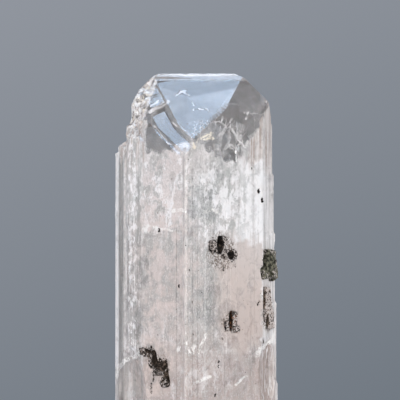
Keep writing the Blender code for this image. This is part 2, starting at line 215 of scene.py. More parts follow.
# %% Background
HORIZON_GREY = 0.249
GREY_PER_RISE = 0.39
GREY_PER_RIGHT = -0.13
DARKEST = (0.150, 0.176, 0.207)
LIGHTEST = (0.300, 0.321, 0.362)

world = bpy.data.worlds.new("studio")
world.use_nodes = True
bpy.context.scene.world = world
sky = Recipe(world.node_tree)
right, _, rise = sky.split(sky.node("ShaderNodeTexCoord", output="Generated"))
grey = rise * GREY_PER_RISE + right * GREY_PER_RIGHT + HORIZON_GREY
paint = sky.blend((grey - DARKEST[1]) * (1 / (LIGHTEST[1] - DARKEST[1])), DARKEST, LIGHTEST)
lit = sky.node("ShaderNodeBackground", None, {"Color": paint, "Strength": 1.0})
sky.node("ShaderNodeOutputWorld", None, {"Surface": lit})
print("background nodes", len(world.node_tree.nodes))

# %% [markdown]
# The crystal stands on a sheet of pale paper, out of sight below the picture, which lights it from
# underneath. A plane would end in a hard horizon. A disc whose paper fades out to nothing melts into the
# background instead.

# %% Floor
FLOOR_RADIUS = 0.9
FLOOR_SIDES = 128
FLOOR_GAP = 0.02 * MM
FLOOR_FADE = (100.0, 240.0)
FIBRE_SCALE = 0.6
PAPER_TONES = ((0.60, 0.61, 0.63), (0.66, 0.67, 0.69))


def add_piece(name, bm):
    """Turns a bmesh into an object of this name in the scene."""
    mesh = bpy.data.meshes.new(name)
    bm.to_mesh(mesh)
    bm.free()
    piece = bpy.data.objects.new(name, mesh)
    bpy.context.scene.collection.objects.link(piece)
    return piece


disc = bmesh.new()
bmesh.ops.create_circle(disc, cap_ends=True, segments=FLOOR_SIDES, radius=FLOOR_RADIUS)
bmesh.ops.translate(disc, verts=disc.verts[:], vec=(0, 0, -FLOOR_GAP))
floor = add_piece("floor", disc)

floor_finish, paper = finish("pale_paper")
spot = paper.place()
away = paper.vector("LENGTH", spot, output="Value")
tone = paper.blend(paper.grain(spot, FIBRE_SCALE, detail=4), *PAPER_TONES)
sheet = paper.node("ShaderNodeBsdfPrincipled", None, {"Base Color": tone, "Roughness": 0.7})
nothing = paper.node("ShaderNodeBsdfTransparent")
faded = paper.node("ShaderNodeMixShader", None, {0: away.ramp(*FLOOR_FADE), 1: sheet, 2: nothing})
paper.node("ShaderNodeOutputMaterial", None, {"Surface": faded})
floor.data.materials.append(floor_finish)
print("floor", round(2 * FLOOR_RADIUS, 2), "m across, fades out between", FLOOR_FADE, "mm")

# %% [markdown]
# Soft boxes light it, as in a stone dealer's studio. A cool one overhead is what the dome at the top
# mirrors, which turns it pale blue, and a narrow one behind it lights the bevel along the ridge. A broad
# box at each side, out of the mirror's line, lights the body, and a thin strip at each side draws the
# bright outlines.

# %% Lights
AIM = (0, 0, 0.07)
SOFT_BOXES = (
    # name, centre, aim, width and height in metres, light sent out in red, green and blue
    ("overhead_softbox", (0, 0.09, 0.72), (0, 0.0, 0.09), 0.34, 0.36, (2.6, 3.55, 4.85)),
    ("ridge_softbox", (0, 0.50, 0.60), AIM, 0.40, 0.16, (3.4, 3.7, 4.2)),
    ("right_softbox", (0.36, -0.36, 0.16), AIM, 0.36, 0.42, (4.3, 4.05, 3.9)),
    ("left_softbox", (-0.36, -0.36, 0.16), AIM, 0.36, 0.42, (3.8, 3.55, 3.45)),
    ("right_strip_light", (0.46, -0.055, 0.10), AIM, 0.07, 0.34, (5.0, 5.0, 5.0)),
    ("left_strip_light", (-0.46, -0.055, 0.10), AIM, 0.07, 0.34, (4.0, 4.0, 4.0)),
)

for name, centre, aim, width, height, radiance in SOFT_BOXES:
    data = bpy.data.lights.new(name, "AREA")
    data.shape = "RECTANGLE"
    data.size = width
    data.size_y = height
    strongest = max(radiance)
    data.color = [c / strongest for c in radiance]
    data.energy = strongest * math.pi * width * height
    box = bpy.data.objects.new(name, data)
    bpy.context.scene.collection.objects.link(box)
    box.location = centre
    box.rotation_euler = (Vector(aim) - Vector(centre)).to_track_quat("-Z", "Y").to_euler()
    box.visible_camera = False
    print(name, round(data.energy, 2), "W")

# %% [markdown]
# The solids carry the real size, so the dressed crystal may not be larger than they are. Whatever is
# pushed, worn or strewn below is brought back to the walls of their box afterwards, which moves a few
# points by hundredths of a millimetre. Scaling the piece would do it too, but would shift every mark on it.

# %% Keep to the box of the solids
def keep_inside(bm):
    """Brings points that a change has pushed out of the solids' box back to its wall."""
    for vert in bm.verts:
        vert.co = [min(max(c, low), high) for c, low, high in zip(vert.co, *cad_box)]


print("box of the solids", [[round(v / MM, 2) for v in corner] for corner in cad_box])

# %% [markdown]
# The crystal's own mesh starts as a copy of the solid. A solid comes as loose triangles, so its points are
# merged and its flat faces dissolved. Upright planes through the axis and level ones then cut it into
# narrow strips, because the prism faces of danburite carry fine grooves along the crystal's length, and the
# strips can follow them.

# %% Cut the crystal into strips
MERGE = 0.002 * MM
FLATNESS = math.radians(0.4)
COLUMNS = 180
ROW_HEIGHT = 1.6 * MM
TIP_ROW_HEIGHT = 0.5 * MM
TIP_FROM = 83 * MM


def merged_copy(node):
    """A solid's mesh as a bmesh, its points merged and its flat faces whole."""
    bm = bmesh.new()
    bm.from_mesh(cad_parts[node].data)
    bmesh.ops.remove_doubles(bm, verts=bm.verts[:], dist=MERGE)
    bmesh.ops.dissolve_limit(bm, angle_limit=FLATNESS, verts=bm.verts[:], edges=bm.edges[:])
    return bm


crystal_bm = merged_copy("danburite_crystal")
print("merged faces", len(crystal_bm.faces))
planes = []
for column in range(COLUMNS):
    turn = math.pi * column / COLUMNS
    planes.append((Vector((0, 0, 0)), Vector((math.cos(turn), math.sin(turn), 0))))
level = ROW_HEIGHT
while level < cad_box[1].z - MERGE:
    planes.append((Vector((0, 0, level)), Vector((0, 0, 1))))
    level += ROW_HEIGHT if level < TIP_FROM else TIP_ROW_HEIGHT
for point, normal in planes:
    everything = crystal_bm.verts[:] + crystal_bm.edges[:] + crystal_bm.faces[:]
    bmesh.ops.bisect_plane(crystal_bm, geom=everything, dist=MERGE, plane_co=point, plane_no=normal)
crystal_bm.normal_update()
print("cut faces", len(crystal_bm.faces))

# %% [markdown]
# Thin growth layers lie on the two broad front faces. In the solids they are steps of a few tenths of a
# millimetre. In the photograph most show only as faint lines, so points just proud of the face, and in the
# middle those just behind it, are brought most of the way to it.

# %% Sink the ledges of the front faces
FRONT_FACES = (
    # outward direction, a point of the face
    (Vector((0.7362, -0.6767, 0)), Vector((-0.77, -15.85, 0)) * MM),
    (Vector((-0.7362, -0.6767, 0)), Vector((-2.75, -17.95, 0)) * MM),
)
LEDGE_MOST = 0.42 * MM
LEDGE_BACK = 1.5 * MM
RECESS_MOST = 0.6 * MM
RECESS_X = (-3.4 * MM, 9.0 * MM)
LEDGE_SUNK = 0.7

sunk = 0
for outward, point in FRONT_FACES:
    for vert in crystal_bm.verts:
        proud = (vert.co - point).dot(outward)
        recess = RECESS_MOST if RECESS_X[0] < vert.co.x < RECESS_X[1] else 0.0
        if vert.co.y < LEDGE_BACK and -recess < proud < LEDGE_MOST:
            vert.co -= outward * proud * LEDGE_SUNK
            sunk += 1
crystal_bm.normal_update()
print("points brought towards the front faces", sunk)

# %% [markdown]
# Danburite grows with fine grooves along its prism. They are pushed in along the upright faces with noise
# that changes fast round the crystal and slowly up it. Bump alone would leave the outline ruled and the
# edges straight. The flanks are grooved deeper than the two broad front faces.

# %% Groove the prism faces
UPRIGHT = 0.12
GROOVES = (
    # bumps per millimetre round the crystal and up it, depth in millimetres
    (1.35, 0.030, 0.07),
    (0.45, 0.012, 0.12),
)
FLANK_SHARE = (0.22, 1.0)
FLANK_FROM = 0.74
FLANK_OVER = 0.2


def groove(point, outward):
    """How deep the surface is cut in here, in metres."""
    flank = min(1.0, max(0.0, (abs(outward.x) - FLANK_FROM) / FLANK_OVER))
    share = FLANK_SHARE[0] + (FLANK_SHARE[1] - FLANK_SHARE[0]) * flank
    depth = 0.0
    for around, along, deepest in GROOVES:
        spot = Vector((point.x * around, point.y * around, point.z * along)) / MM
        depth += deepest * MM * (0.5 + 0.5 * noise.noise(spot)) ** 2
    return depth * share


moves = []
for vert in crystal_bm.verts:
    if all(abs(face.normal.z) < UPRIGHT for face in vert.link_faces):
        moves.append((vert, -vert.normal * groove(vert.co, vert.normal)))
print("grooved points", len(moves))

# %% [markdown]
# Sharp edges are worn by a few hundredths of a millimetre, in places only, which makes them glint here and
# there instead of as one ruled line. The upper left corner is broken, so lumps of noise eat into it as
# well. All these moves are worked out on the unmoved mesh and made together, so that none of them disturbs
# another.

# %% Wear the edges and crumble the corner
WEAR_ANGLE = math.radians(22)
WEAR_DEPTH = 0.09 * MM
WEAR_SCALE = 0.9
CORNER_EDGE = -7.6 * MM
CORNER_SLOPE = 0.25
CORNER_TOP = 99 * MM
CORNER_FROM = 84 * MM
CORNER_BACK = 2 * MM
CORNER_FADE = 2 * MM
LUMP_SCALE = 0.8
LUMP_DEPTH = 0.45 * MM
LUMP_LEVEL = 0.35
LUMP_FRACTAL = (1.0, 2.0, 4)

for vert in crystal_bm.verts:
    ridges = [edge for edge in vert.link_edges if edge.is_manifold and edge.is_convex]
    if vert.co.z > MERGE and any(edge.calc_face_angle() > WEAR_ANGLE for edge in ridges):
        worn = noise.noise(vert.co * WEAR_SCALE / MM)
        if worn > 0:
            moves.append((vert, -vert.normal * worn * WEAR_DEPTH))
for vert in crystal_bm.verts:
    broken = CORNER_EDGE - vert.co.x - CORNER_SLOPE * (CORNER_TOP - vert.co.z)
    if broken > 0 and vert.co.z > CORNER_FROM and vert.co.y < CORNER_BACK:
        lumps = noise.fractal(vert.co * LUMP_SCALE / MM, *LUMP_FRACTAL)
        share = min(1.0, broken / CORNER_FADE)
        moves.append((vert, -vert.normal * max(0.0, lumps + LUMP_LEVEL) * LUMP_DEPTH * share))
for vert, move in moves:
    vert.co += move
keep_inside(crystal_bm)
bmesh.ops.triangulate(crystal_bm, faces=[face for face in crystal_bm.faces if len(face.verts) > 4])
crystal_bm.normal_update()
surface = BVHTree.FromBMesh(crystal_bm)
crystal = add_piece("crystal", crystal_bm)
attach(crystal, "root")
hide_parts("danburite_crystal")
print("moved points", len(moves), "triangles", sum(len(p.vertices) - 2 for p in crystal.data.polygons))

# %% [markdown]
# Marks are placed where the photograph shows them: a line of sight from the camera through a point of the
# picture meets the crystal's surface, and the mark goes there. Inside the shader only x and z of that point
# are used.

# %% Points of the picture on the crystal
def on_surface(column, row):
    """Where the line of sight through a point of the picture meets the crystal, and the normal there."""
    aim = Vector((column - PHOTO_SIZE / 2, 0, PHOTO_SIZE / 2 - row)) * (VIEW_WIDTH / PHOTO_SIZE)
    ray = (VIEW_CENTRE + aim - camera.location).normalized()
    point, normal, _, _ = surface.ray_cast(camera.location, ray)
    if point is None:
        point, normal = VIEW_CENTRE + aim, Vector((0, -1, 0))
    return point, normal


for spot in ((193.5, 139.5), (220, 244), (147, 358)):
    print(spot, [round(v / MM, 2) for v in on_surface(*spot)[0]])

# %% [markdown]
# Danburite is clear, but this crystal is full of healed cracks that turn most of it milky, and only its tip
# and a window at the upper left stay glassy. Two shaders are mixed by a mask: clear glass, and a milky one
# with a glassy skin. Mask and colours are drawn in the piece's own coordinates, which noise bends a little,
# so that nothing on the stone has a ruled border.

# %% The danburite finish
IOR = 1.63
BEND_SCALE = 0.5
BEND_REACH = (3.0, 3.0, 4.0)
FRONT_FADE = (7.0, 4.0)

danburite, rock = finish("danburite")
here = rock.place()
x, y, z = rock.split(here)
wobble = rock.vector("SUBTRACT", rock.grain(here, BEND_SCALE, detail=4, output=1), (0.5, 0.5, 0.5))
bent = rock.vector("ADD", here, rock.vector("MULTIPLY", wobble, BEND_REACH))
bent_x, _, bent_z = rock.split(bent)
front = y.ramp(*FRONT_FADE)
print("the front's marks fade out from", FRONT_FADE[1], "to", FRONT_FADE[0], "mm behind the axis")

# %% [markdown]
# Every zone and mark is one of three shapes laid over the picture: an outline of straight sides, an oval,
# or a stroke of even width. Each is a mask of 0 to 1. Painting an image would be quicker, but a mask stays
# sharp from near, and the noise can break it up.

# %% Outlines, ovals and strokes
STROKE_SOFT = 0.12
WAVER_REACH = 6


def beyond(first, second, soft, spot=(bent_x, bent_z)):
    """1 to the right of the line from the first point of the picture to the second, 0 to its left."""
    a, b = on_surface(*first)[0] / MM, on_surface(*second)[0] / MM
    along = Vector((b.x - a.x, b.z - a.z)).normalized()
    offset = (spot[0] - a.x) * along.y - (spot[1] - a.z) * along.x
    return offset.ramp(-soft, soft)


def area(corners, soft, spot=(bent_x, bent_z)):
    """1 inside the convex outline through these points of the picture, which go round it clockwise."""
    sides = [beyond(first, second, soft, spot) for first, second in zip(corners, corners[1:] + corners[:1])]
    return reduce(Wire.__mul__, sides)


def patch(column, row, half_width, half_height, soft=0.5):
    """1 inside an oval round a point of the picture. Half sizes are in millimetres, soft fades its edge."""
    centre = on_surface(column, row)[0] / MM
    across = (bent_x - centre.x) * (1 / half_width)
    up = (bent_z - centre.z) * (1 / half_height)
    return (across * across + up * up).ramp(1 + soft, 1 - soft)


def stroke(points, width, waver=0.25):
    """1 along a line through these points of the picture, width in millimetres."""
    shift = rock.vector("MULTIPLY", wobble, (waver * WAVER_REACH,) * 3)
    flat = rock.vector("MULTIPLY", rock.vector("ADD", here, shift), (1, 0, 1))
    gaps = []
    for first, second in zip(points, points[1:]):
        a, b = [Vector((p.x, 0, p.z)) / MM for p in (on_surface(*first)[0], on_surface(*second)[0])]
        from_a = rock.vector("SUBTRACT", flat, a)
        share = rock.vector("DOT_PRODUCT", from_a, (b - a) / (b - a).length_squared, output="Value")
        reach = rock.vector("MULTIPLY", share.most(0.0).least(1.0), b - a)
        gaps.append(rock.vector("LENGTH", rock.vector("SUBTRACT", from_a, reach), output="Value"))
    return reduce(Wire.least, gaps).ramp(width * 0.5 + STROKE_SOFT, width * 0.5 - STROKE_SOFT)


# %% [markdown]
# The stone's clouds, its streaks along the grooves and its fine specks are noise. The same few noises steer
# both what is clear and what colour it is, as in the real stone, where a healed crack is white because it
# isn't clear. Two patterns more are drawn from them: feathery threads, and angular shards like the flakes
# of a cleavage.

# %% Noise that the zones and colours share
FEATHER_GRAIN = {"detail": 3, "roughness": 0.55, "distortion": 0.7}
SHARD_BEND = 0.9
SHARD_SCALE = 0.6
SHARD_STRETCH = (1, 1, 0.75)

clouds = rock.grain(here, 0.11, detail=5, roughness=0.6, stretch=(1, 1, 0.6))
fine_clouds = rock.grain(here, 0.5, detail=5, roughness=0.65, distortion=0.8)
streaks = rock.grain(here, 1.1, detail=3, roughness=0.6, stretch=(1, 1, 0.03))
fine_streaks = rock.grain(here, 3.4, detail=2, stretch=(1, 1, 0.025))
specks = rock.grain(here, 2.2, detail=3, roughness=0.7)
crisp = rock.grain(here, 0.38, detail=7, roughness=0.72, distortion=0.3, stretch=(1, 1, 0.7))
mottles = rock.grain(here, 0.28, detail=5, roughness=0.6, distortion=0.5)
clusters = rock.grain(here, 0.13, detail=2, roughness=0.4)


def feathers(scale, width, stretch, shift):
    """Thin curved threads, such as the edges of healed cracks, where a noise crosses its middle."""
    moved = rock.vector("ADD", here, (shift, 0, shift))
    return abs(rock.grain(moved, scale, stretch=stretch, **FEATHER_GRAIN) - 0.5).ramp(width, 0.0)


threads = feathers(0.16, 0.016, (1, 1, 0.6), 0.0).most(feathers(0.42, 0.018, (1, 1, 0.5), 31.0))
shard_spot = rock.vector("ADD", here, rock.vector("MULTIPLY", wobble, (SHARD_BEND,) * 3))
shard_sockets = {"Vector": rock.vector("MULTIPLY", shard_spot, SHARD_STRETCH), "Scale": SHARD_SCALE}
shard, shard_tilt, _ = rock.split(rock.node("ShaderNodeTexVoronoi", None, shard_sockets, output="Color"))
shard_edge = rock.node("ShaderNodeTexVoronoi", {"feature": "DISTANCE_TO_EDGE"}, shard_sockets)
print("nodes up to here", len(rock.tree.nodes))

# %% [markdown]
# The clear part is a mask: the two windows that the photograph shows, less the white flecks, the veil of fine
# cracks under the dome, and a faint haze. One wide stroke among the flecks is a painted highlight, white
# along the edge where the dome meets the left face. A thin band beside the left outline is half clear too.
# Behind, where nothing is seen, the tip is left half milky.

# %% Clear and milky zones
LEFT_WINDOW = [(150, 70), (200, 70), (200, 140), (165, 151), (146, 153), (146, 112)]
RIGHT_WINDOW = [(195, 70), (243, 72), (272, 103), (263, 118), (250, 150), (238, 166), (213, 154), (195, 141)]
LEFT_CLEAR = [(145, 117), (151, 114), (167, 152), (145, 154)]
STEP_BETWEEN_DOMES = [(158, 88), (166, 104), (174, 121), (190, 137)]
FLECKS_AND_EDGE_GLINT = (
    # points of the picture, width in millimetres
    ([(176, 95), (181, 92), (185, 91)], 0.3),
    ([(184, 92), (189, 95)], 0.15),
    ([(192.5, 103), (193.5, 110)], 0.3),
    ([(199, 108), (203, 110)], 0.3),
    ([(206, 109), (208, 112)], 0.25),
    # painted highlight: a white stroke along the edge where the dome meets the left face
    ([(149.7, 112), (158, 107), (168, 102)], 0.8),
    ([(150, 106), (158, 101)], 0.4),
    ([(172, 122), (177, 126)], 0.35),
    ([(243, 113), (248, 113), (246, 118)], 0.4),
    ([(246, 113.5), (263, 114)], 0.12),
    ([(233, 130), (238, 139), (245, 147)], 0.4),
    ([(248, 141), (246, 147)], 0.5),
    ([(154.5, 125.5), (167.9, 142.4), (177.6, 147.3)], 0.3),
)

window = area(LEFT_WINDOW, 0.5).most(area(RIGHT_WINDOW, 0.5))
tip_behind = (bent_z + bent_x * 0.2).ramp(83.0, 87.0) * 0.5
window = front * window + (1 - front) * tip_behind
flecks_and_edge_glint = any_of([stroke(points, width) for points, width in FLECKS_AND_EDGE_GLINT])
flecks_and_edge_glint = flecks_and_edge_glint * fine_clouds.ramp(0.34, 0.5) * front

veil_place = patch(218, 140, 7.0, 4.6).most(patch(238, 146, 5.0, 3.0)) * front
veil = veil_place * (fine_clouds + clouds * 0.5).ramp(0.72, 0.92) * 0.7
glimpses = (clouds * 0.5 + fine_clouds * 0.5).ramp(0.48, 0.66) * 0.4
side_x = x + streaks * 0.4 - 0.2
side_band = side_x.ramp(-17.35, -17.05) * side_x.ramp(-15.9, -16.2) * front * bent_z.ramp(82.0, 80.0)

straight = (x, z)
grey_facet = beyond((194, 140), (241, 80), 0.15, straight) * bent_z.ramp(84.0, 90.0)
left_clear = area(LEFT_CLEAR, 0.15, straight)
step_haze = stroke(STEP_BETWEEN_DOMES, 0.9, 0.05) * 0.3
haze_inside = (grey_facet.most(left_clear) * 0.16).most(step_haze) * front
ridge = z.ramp(97.8, 98.8)

clear = window * (1 - veil * 0.8) * (1 - haze_inside) * (1 - threads * 0.6 * veil_place)
clear = clear + (1 - window) * glimpses
clear = clear.most(side_band * 0.5) * (1 - flecks_and_edge_glint) * (1 - ridge * 0.4)
print("flecks_and_edge_glint", len(FLECKS_AND_EDGE_GLINT), "nodes up to here", len(rock.tree.nodes))

# %% [markdown]
# The milky part is pink low down and paler towards the tip, with grey-green shadows where the cloud is thin
# and white where cracks crowd together. Each line of the table lays one colour over what is there, by a
# share that a noise decides. Many weak layers of different noises look like stone sooner than one strong
# one.

# %% Colours of the milky part
PINK = (0.60, 0.505, 0.465)
PALE = (0.72, 0.70, 0.695)
WHITE = (1.0, 0.995, 0.995)
GREY_GREEN = (0.42, 0.435, 0.42)
BEIGE = (0.50, 0.415, 0.365)
CREAM = (0.90, 0.83, 0.69)
BROWN = (0.15, 0.11, 0.08)


def lay(body, layers):
    """Lays colours over the body one after another, each by its own share."""
    for share, colour in layers:
        body = rock.blend(share, body, colour)
    return body


lively = (bent_z + clouds * 10.0).ramp(64.0, 72.0)
low = (bent_z + clouds * 14.0).ramp(54.0, 46.0) * clusters.ramp(0.42, 0.54)
calm = patch(243, 290, 6.0, 13.0, 0.5) * front
quiet = 1 - calm * 0.85
whites = (lively + low * 0.75 + 0.15).least(1.0) * quiet
dull = patch(166, 285, 10.0, 16.0, 0.9).most(patch(204, 300, 4.5, 12.0, 0.9))
dull = dull.most(patch(205, 190, 5.0, 7.0, 0.7)) * front
rosy = patch(166, 187, 5.5, 10.5, 0.8) * front
shade = patch(186, 160, 6.5, 3.5, 0.8) * front
crumbs = rock.grain(rock.vector("ADD", here, (11.0, 5.0, 2.0)), 1.7, detail=1)

body = rock.blend((bent_z + clouds * 22.0 + x * 0.5).ramp(60.0, 88.0), PINK, PALE)
body = lay(body, (
    # share, colour
    (clouds.ramp(0.42, 0.62) * 0.30 * quiet, PALE),
    (fine_clouds.ramp(0.50, 0.34) * 0.40 * quiet, GREY_GREEN),
    (dull * fine_clouds.ramp(0.34, 0.60) * 0.65, GREY_GREEN),
    (dull * specks.ramp(0.52, 0.64) * 0.35, (0.36, 0.365, 0.34)),
    (shard.ramp(0.74, 0.80) * shard_edge.ramp(0.0, 0.1) * whites * 0.4, WHITE),
    (shard.ramp(0.26, 0.20) * 0.25 * quiet, GREY_GREEN),
    (crisp.ramp(0.53, 0.58) * clusters.ramp(0.44, 0.58) * whites, WHITE),
    (crisp.ramp(0.46, 0.40) * 0.4 * quiet, GREY_GREEN),
    (threads * clusters.ramp(0.42, 0.56) * whites * 0.7, WHITE),
    (shade * 0.5, (0.55, 0.505, 0.49)),
    (rosy * mottles.ramp(0.60, 0.46) * 0.6, (0.84, 0.745, 0.71)),
    ((rosy + shade).least(1.0) * mottles.ramp(0.54, 0.62) * 0.6, (0.50, 0.47, 0.45)),
    (quiet * mottles.ramp(0.47, 0.40) * 0.45, (0.70, 0.66, 0.64)),
    (quiet * mottles.ramp(0.54, 0.62) * 0.35, (0.40, 0.41, 0.385)),
    (rosy * crisp.ramp(0.53, 0.57) * 0.7, WHITE),
    (specks.ramp(0.53, 0.64) * 0.45 * quiet, GREY_GREEN),
    (specks.ramp(0.45, 0.35) * 0.45 * quiet, WHITE),
    # painted shade: a grey line down the front edge, which hides the bright line that the lights draw along
    # it
    (y.ramp(-17.45, -17.8) * 0.7, (0.40, 0.38, 0.37)),
    (calm * 0.5, (0.72, 0.62, 0.56)),
    ((bent_z + clouds * 10.0).ramp(53.0, 40.0) * front * 0.35, (0.44, 0.35, 0.31)),
    (crumbs.ramp(0.735, 0.76) * clusters.ramp(0.40, 0.52) * 0.8, (0.22, 0.19, 0.165)),
))
print("nodes up to here", len(rock.tree.nodes))

# %% [markdown]
# The grooves of the two flanks catch the light as white and grey lines, beige ones near the tip, and short
# cracks cross the left one like rungs. The streaks are the same noise that was stretched along the crystal
# before.

# %% The grooved flanks
strip_left = bent_x.ramp(-11.2, -11.8)
strip_right = bent_x.ramp(14.0, 14.6)
right_top = beyond((249, 152), (266, 103), 0.4) * bent_z.ramp(78.0, 80.0) * front
high = bent_z.ramp(76.0, 80.0) * front
grooved = (strip_left + strip_right.most(right_top)).least(1.0)
warm = (strip_right + right_top).least(1.0) * high
rungs = rock.grain(here, 1.0, detail=4, roughness=0.7, stretch=(1.0, 1.0, 0.55))
ladder = x.ramp(-15.1, -14.8) * x.ramp(-13.1, -13.4)
shaded = x.ramp(-13.4, -13.1) * x.ramp(-11.9, -12.2) * (1 - high)

body = lay(body, (
    # share, colour
    (strip_right * (1 - high) * 0.6, (0.93, 0.91, 0.90)),
    (warm * 0.6, (0.62, 0.55, 0.51)),
    (warm * streaks.ramp(0.40, 0.58) * 0.9, BEIGE),
    (grooved * (1 - high) * streaks.ramp(0.44, 0.62) * 0.6, (0.42, 0.40, 0.385)),
    (strip_left * high * streaks.ramp(0.40, 0.58) * 0.9, BEIGE),
    (grooved * fine_streaks.ramp(0.5, 0.62) * 0.55, WHITE),
    (strip_left * rungs.ramp(0.50, 0.42) * 0.5, GREY_GREEN),
    (strip_left * (ladder + 0.25) * rungs.ramp(0.52, 0.57) * 0.85, WHITE),
    (shaded * front * rungs.ramp(0.60, 0.48) * 0.6, (0.30, 0.305, 0.29)),
    ((1 - grooved) * streaks.ramp(0.55, 0.7) * 0.06, BEIGE),
    ((1 - grooved) * fine_streaks.ramp(0.58, 0.7) * 0.08, WHITE),
    # painted highlight: the outermost strip of the left outline is painted white, as a line of light along
    # that edge
    (side_x.ramp(-17.0, -17.3) * 0.7, WHITE),
    (side_band * 0.6, GREY_GREEN),
))
print("nodes up to here", len(rock.tree.nodes))

# %% [markdown]
# Some parts of the front have a tone of their own: rosy stretches on the left, the square grainy one beside
# the front edge, and an icy one full of sharp flakes. The bright white patch at the upper right is a painted
# reflection: the sheen of the right face, painted as white streaks along the grooves, and the last tint
# whitens its top. They are laid over the rest as large, faint marks.

# %% Tones of the front
TINTS = (
    # column, row, half width, half height, share, colour
    (163, 258, 7.5, 13.0, 0.45, (0.83, 0.71, 0.66)),
    (158, 335, 6.0, 9.0, 0.35, (0.84, 0.71, 0.65)),
    (148, 372, 5.0, 6.5, 0.50, (0.88, 0.74, 0.66)),
    # painted reflection: this tint whitens the top of the painted sheen at the upper right
    (254, 172, 4.2, 4.6, 0.60, (0.93, 0.90, 0.89)),
)
TINT_SOFT = 0.7

cloudy = mottles.ramp(0.56, 0.42) * 0.8 + 0.2
for column, row, half_width, half_height, share, colour in TINTS:
    tint = patch(column, row, half_width, half_height, TINT_SOFT) * front * cloudy * share
    body = rock.blend(tint, body, colour)
# painted reflection: the sheen of the right face, painted as white streaks
painted_sheen_patch = area([(239, 166), (263, 160), (264, 246), (236, 240)], 0.8) * front
grainy = area([(188.5, 184), (214, 185), (214, 217), (188.5, 216)], 0.12) * front
icy = patch(228, 200, 7.0, 9.5, 0.8) * front
body = lay(body, (
    # share, colour
    (painted_sheen_patch * (streaks * 0.6 + crisp * 0.4).ramp(0.60, 0.46) * 0.95, WHITE),
    (grainy * 0.5, (0.50, 0.51, 0.51)),
    (grainy * specks.ramp(0.54, 0.60) * 0.5, (0.27, 0.275, 0.26)),
    (icy * crisp.ramp(0.49, 0.54) * 0.75, WHITE),
    (icy * crisp.ramp(0.46, 0.42) * 0.5, GREY_GREEN),
))
print("tints", len(TINTS), "nodes up to here", len(rock.tree.nodes))

# %% [markdown]
# Last come the marks of damage and dirt: the broken corner in white and grey chips, a cream fleck under the
# dome, brown dust round the dark patches, the hollows of two spalls low down, and the white scars. A scar
# is a stroke that noise breaks up, because a bruise in stone is a row of tiny cracks.

# %% Stains and scars
CORNER = [(146, 72), (156, 74), (159, 88), (150, 102), (145, 114), (140, 128), (126, 128), (128, 95)]
CREAM_FLECK = (
    [(201, 140), (209, 135), (212, 133)],
    [(205, 141), (214, 138)],
    [(208, 139), (213, 134), (211, 132)],
    [(197, 139), (194, 143), (194, 148)],
)
DUST = (
    # column, row, half width, half height, strength
    (222, 252, 2.9, 4.0, 0.8),
    (268, 264, 1.6, 3.4, 0.9),
    (267, 310, 1.3, 4.6, 0.85),
    (229, 322, 1.3, 2.0, 0.85),
    (160, 362, 1.8, 1.6, 0.6),
)
SCARS = (
    # points of the picture, width in millimetres
    ([(117, 376), (119, 367), (124, 361), (130, 358), (136, 356.5), (142.4, 349)], 0.95),
    ([(274.5, 333), (272, 340), (262.4, 348.5), (257.6, 353)], 0.8),
    ([(173, 211), (180, 209.5), (185, 211)], 0.7),
    ([(203, 212), (210, 210), (217, 211.5)], 0.7),
    ([(148, 225), (160, 229), (173, 231)], 0.5),
    ([(205.5, 334), (203, 340), (201, 346), (197, 358)], 0.6),
    ([(198, 382), (210, 377)], 0.7),
    ([(236, 384), (246, 376)], 0.5),
)
BRUISES = (
    # column, row, half width, half height
    (187, 350, 2.0, 1.6),
    (256, 351, 1.2, 1.6),
    (150, 228, 1.6, 0.8),
)

corner = area(CORNER, 0.4) * front
chips = rock.grain(here, 0.75, detail=3, roughness=0.6, distortion=0.6)
cream_fleck = any_of([stroke(points, 0.5, 0.3) * crisp.ramp(0.44, 0.50) for points in CREAM_FLECK]) * front
dust = any_of([patch(*oval) * strength for *oval, strength in DUST])
left_hollow = patch(130, 390, 3.6, 7.6, 0.25) * front
right_hollow = patch(269, 378, 2.4, 8.0, 0.25) * front
scars = [stroke(points, width, 0.2) for points, width in SCARS]
bruises = [patch(*oval) * crisp.ramp(0.50, 0.54) for oval in BRUISES]
scarred = any_of(scars + bruises) * front * (crisp * 0.5 + specks * 0.5).ramp(0.44, 0.52)

body = lay(body, (
    # share, colour
    (corner * 0.8, (0.62, 0.58, 0.55)),
    (corner * chips.ramp(0.50, 0.54), WHITE),
    (corner * chips.ramp(0.45, 0.40) * 0.9, (0.20, 0.195, 0.19)),
    (corner * rungs.ramp(0.56, 0.60) * 0.8, CREAM),
    (cream_fleck * 0.9, CREAM),
    (dust * specks.ramp(0.46, 0.54) * front, BROWN),
    (right_hollow * 0.75, (0.41, 0.335, 0.30)),
    (left_hollow * 0.4, (0.50, 0.43, 0.40)),
    (left_hollow * streaks.ramp(0.36, 0.54) * 0.6, (0.36, 0.35, 0.33)),
    (right_hollow * streaks.ramp(0.36, 0.54) * 0.8, (0.40, 0.32, 0.28)),
    (right_hollow * fine_streaks.ramp(0.54, 0.62) * 0.6, WHITE),
    (scarred * 0.95, (0.99, 0.97, 0.93)),
))
clear = clear * (1 - dust) * (1 - corner * 0.8) * (1 - cream_fleck)
print("scars and bruises", len(scars + bruises), "nodes up to here", len(rock.tree.nodes))

# %% [markdown]
# The clear part is plain glass with danburite's index of refraction, a little dull at the top of the tip,
# where the photograph shows soft reflections. The milky part lets some light in under its skin. One
# absorption, faintly warm, fills the whole stone. A true cloudy volume would be closer to nature but far
# too slow to render clean.

# %% Put the finish together
RELIEF_STRENGTH = 0.5
RELIEF_DEPTH = 0.06
CLEAR_STRENGTH = 0.1
CLEAR_DEPTH = 0.02
GLASS_WHITE = (0.97, 0.97, 0.97, 1)
MILK_REACH = 1.2 * MM
WARM_GLASS = (0.93, 0.90, 0.88, 1)
ABSORPTION = 6.0

